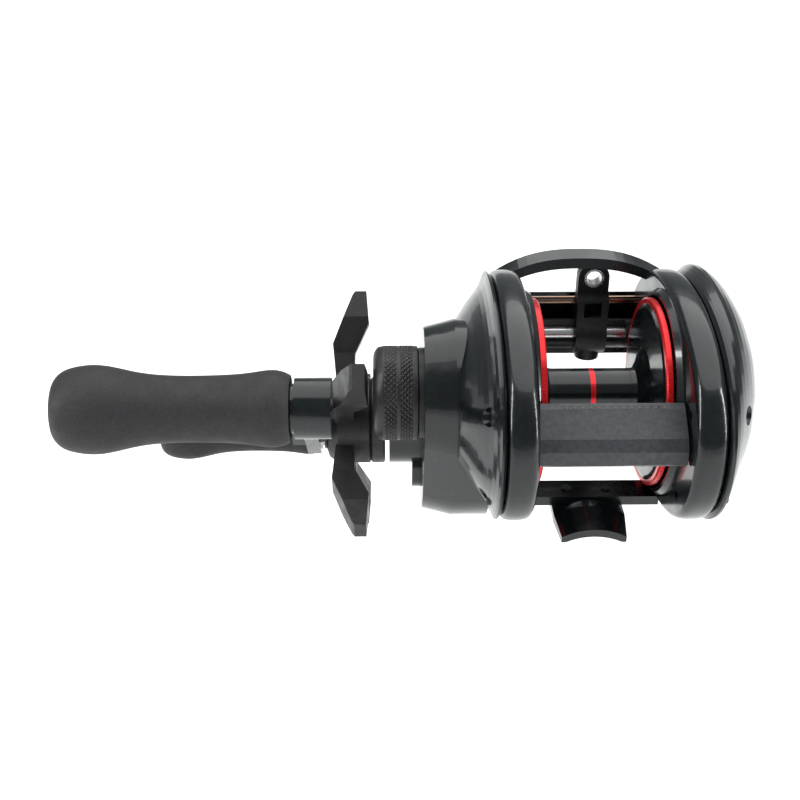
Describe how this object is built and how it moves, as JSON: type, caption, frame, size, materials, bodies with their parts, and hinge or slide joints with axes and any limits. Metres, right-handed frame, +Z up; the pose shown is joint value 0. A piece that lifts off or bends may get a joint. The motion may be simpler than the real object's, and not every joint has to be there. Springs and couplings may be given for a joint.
{
  "type": "baitcasting fishing reel",
  "caption": "Low-profile baitcasting reel, left-hand crank with two knobs, star drag, level-wind line guide, thumb bar and a foot for a rod seat.",
  "frame": {"origin": "underside of the reel foot, in the spool's mid-plane, below the spool shaft", "axes": "+X along the spool shaft to the palm side, +Y to the line guide, +Z up out of the rod seat"},
  "size_m": [0.1165, 0.0843, 0.063],
  "materials": {
    "arbor_stripe": "anodised red",
    "brake_dial": "satin black",
    "brake_rotor": "satin",
    "cast_control_collar": "satin black",
    "cast_control_knob": "knurled satin black",
    "clutch_link": "matte",
    "clutch_yoke": "matte",
    "cover_screws": "satin",
    "drag_nut": "machined",
    "drag_stack": "satin",
    "drive_bearing_inner": "polished",
    "drive_gear": "machined",
    "drive_shaft": "polished",
    "foot_rivets": "black",
    "frame": "gloss black",
    "front_foot": "gloss black",
    "guide_rod": "bronze",
    "handle_arm": "gloss black",
    "handle_cover": "gloss black",
    "handle_nut": "polished",
    "handle_spacer": "satin",
    "idler_post": "polished",
    "knob_bushes": "matte",
    "knob_cap_far": "gloss",
    "knob_cap_near": "gloss",
    "knob_far": "matte",
    "knob_near": "matte",
    "knob_spindles": "polished",
    "level_wind_drive_gear": "matte",
    "level_wind_idler": "matte",
    "line_guide": "satin black",
    "line_guide_eye": "polished",
    "lock_screw": "polished",
    "magnet_carrier": "matte",
    "nut_lock_plate": "satin",
    "one_way_bearing": "polished",
    "one_way_sleeve": "polished",
    "palm_cover": "gloss black",
    "pawl": "polished",
    "pawl_cap": "satin black",
    "pinion_bearing": "polished",
    "pinion_gear": "machined",
    "ratchet_wheel": "stamped",
    "rear_foot": "gloss black",
    "rim_rings": "anodised red",
    "spool": "gloss black",
    "spool_bearings": "polished",
    "spool_drive_pin": "polished",
    "spool_shaft": "polished",
    "spool_tension_pad": "matte",
    "spring_washers": "satin",
    "star_wheel": "satin black",
    "thumb_bar": "satin dark grey",
    "thumb_bar_pad": "textured",
    "worm_bushings": "polished",
    "worm_gear": "matte",
    "worm_shaft": "polished",
    "worm_tube": "satin black",
    "yoke_posts": "polished",
    "yoke_springs": "polished"
  },
  "bodies": {
    "base": {"frame": "frame", "rear_foot": "rear_foot", "front_foot": "front_foot", "foot_rivets": "foot_rivets", "handle_cover": "handle_cover", "palm_cover": "palm_cover", "cover_screws": "cover_screws", "spool_bearings": "spool_bearings", "pinion_bearing": "pinion_bearing", "drive_bearing_inner": "drive_bearing_inner", "one_way_bearing": "one_way_bearing", "yoke_posts": "yoke_posts", "yoke_springs": "yoke_springs", "cast_control_collar": "cast_control_collar", "magnet_carrier": "magnet_carrier", "worm_tube": "worm_tube", "worm_bushings": "worm_bushings", "guide_rod": "guide_rod", "idler_post": "idler_post", "spool_tension_pad": "spool_tension_pad"},
    "crank": {"drive_shaft": "drive_shaft", "drag_stack": "drag_stack", "drive_gear": "drive_gear", "ratchet_wheel": "ratchet_wheel", "level_wind_drive_gear": "level_wind_drive_gear", "one_way_sleeve": "one_way_sleeve", "spring_washers": "spring_washers", "handle_arm": "handle_arm", "handle_spacer": "handle_spacer", "handle_nut": "handle_nut", "nut_lock_plate": "nut_lock_plate", "lock_screw": "lock_screw", "knob_spindles": "knob_spindles", "knob_bushes": "knob_bushes"},
    "star": {"star_wheel": "star_wheel", "drag_nut": "drag_nut"},
    "near_knob": {"knob_near": "knob_near", "knob_cap_near": "knob_cap_near"},
    "far_knob": {"knob_far": "knob_far", "knob_cap_far": "knob_cap_far"},
    "spool_body": {"spool": "spool", "arbor_stripe": "arbor_stripe", "rim_rings": "rim_rings", "spool_shaft": "spool_shaft", "spool_drive_pin": "spool_drive_pin", "brake_rotor": "brake_rotor"},
    "yoke": {"clutch_yoke": "clutch_yoke"},
    "pinion": {"pinion_gear": "pinion_gear"},
    "idler": {"level_wind_idler": "level_wind_idler"},
    "worm": {"worm_shaft": "worm_shaft", "worm_gear": "worm_gear"},
    "guide": {"line_guide": "line_guide", "line_guide_eye": "line_guide_eye", "pawl": "pawl", "pawl_cap": "pawl_cap"},
    "thumb_bar_body": {"thumb_bar": "thumb_bar", "thumb_bar_pad": "thumb_bar_pad", "clutch_link": "clutch_link"},
    "cast_control": {"cast_control_knob": "cast_control_knob"},
    "dial": {"brake_dial": "brake_dial"}
  },
  "joints": [
    {"name": "handle_turn", "type": "hinge", "parent": "base", "child": "crank", "pos_m": [0, 0.01186, 0.00878], "axis": [1, 0, 0], "continuous": true},
    {"name": "star_drag_turn", "type": "hinge", "parent": "crank", "child": "star", "pos_m": [0, 0.01186, 0.00878], "axis": [1, 0, 0], "range_deg": [-180, 180]},
    {"name": "near_knob_spin", "type": "hinge", "parent": "crank", "child": "near_knob", "pos_m": [0, -0.02316, 0.03196], "axis": [1, 0, 0], "continuous": true},
    {"name": "far_knob_spin", "type": "hinge", "parent": "crank", "child": "far_knob", "pos_m": [0, 0.04688, -0.0144], "axis": [1, 0, 0], "continuous": true},
    {"name": "spool_spin", "type": "hinge", "parent": "base", "child": "spool_body", "pos_m": [0, 0, 0.0215], "axis": [1, 0, 0], "continuous": true},
    {"name": "thumb_bar_press", "type": "slide", "parent": "base", "child": "thumb_bar_body", "axis": [0, -0.35, -0.9367], "range_m": [0, 0.0035]},
    {"name": "clutch_yoke_slide", "type": "slide", "parent": "base", "child": "yoke", "axis": [-1, 0, 0], "range_m": [0, 0.0016], "deforming": ["yoke_springs"]},
    {"name": "pinion_spin", "type": "hinge", "parent": "yoke", "child": "pinion", "pos_m": [0, 0, 0.0215], "axis": [1, 0, 0], "continuous": true},
    {"name": "idler_spin", "type": "hinge", "parent": "base", "child": "idler", "pos_m": [0, 0.01735, 0.01527], "axis": [1, 0, 0], "continuous": true},
    {"name": "worm_spin", "type": "hinge", "parent": "base", "child": "worm", "pos_m": [0, 0.023, 0.02195], "axis": [1, 0, 0], "continuous": true},
    {"name": "line_guide_slide", "type": "slide", "parent": "base", "child": "guide", "axis": [1, 0, 0], "range_m": [-0.0089, 0.0022]},
    {"name": "cast_control_turn", "type": "hinge", "parent": "base", "child": "cast_control", "pos_m": [0, 0, 0.0215], "axis": [1, 0, 0], "range_deg": [-180, 180]},
    {"name": "brake_dial_turn", "type": "hinge", "parent": "base", "child": "dial", "pos_m": [0, 0.003, 0.0245], "axis": [1, 0, 0], "range_deg": [0, 270]}
  ],
  "couplings": [
    {"joint": "spool_spin", "follows": "handle_turn", "ratio": -6.4},
    {"joint": "pinion_spin", "follows": "handle_turn", "ratio": -6.4},
    {"joint": "idler_spin", "follows": "handle_turn", "ratio": -0.7},
    {"joint": "worm_spin", "follows": "handle_turn", "ratio": 0.93333},
    {"joint": "clutch_yoke_slide", "follows": "thumb_bar_press", "ratio": 0.45714}
  ]
}
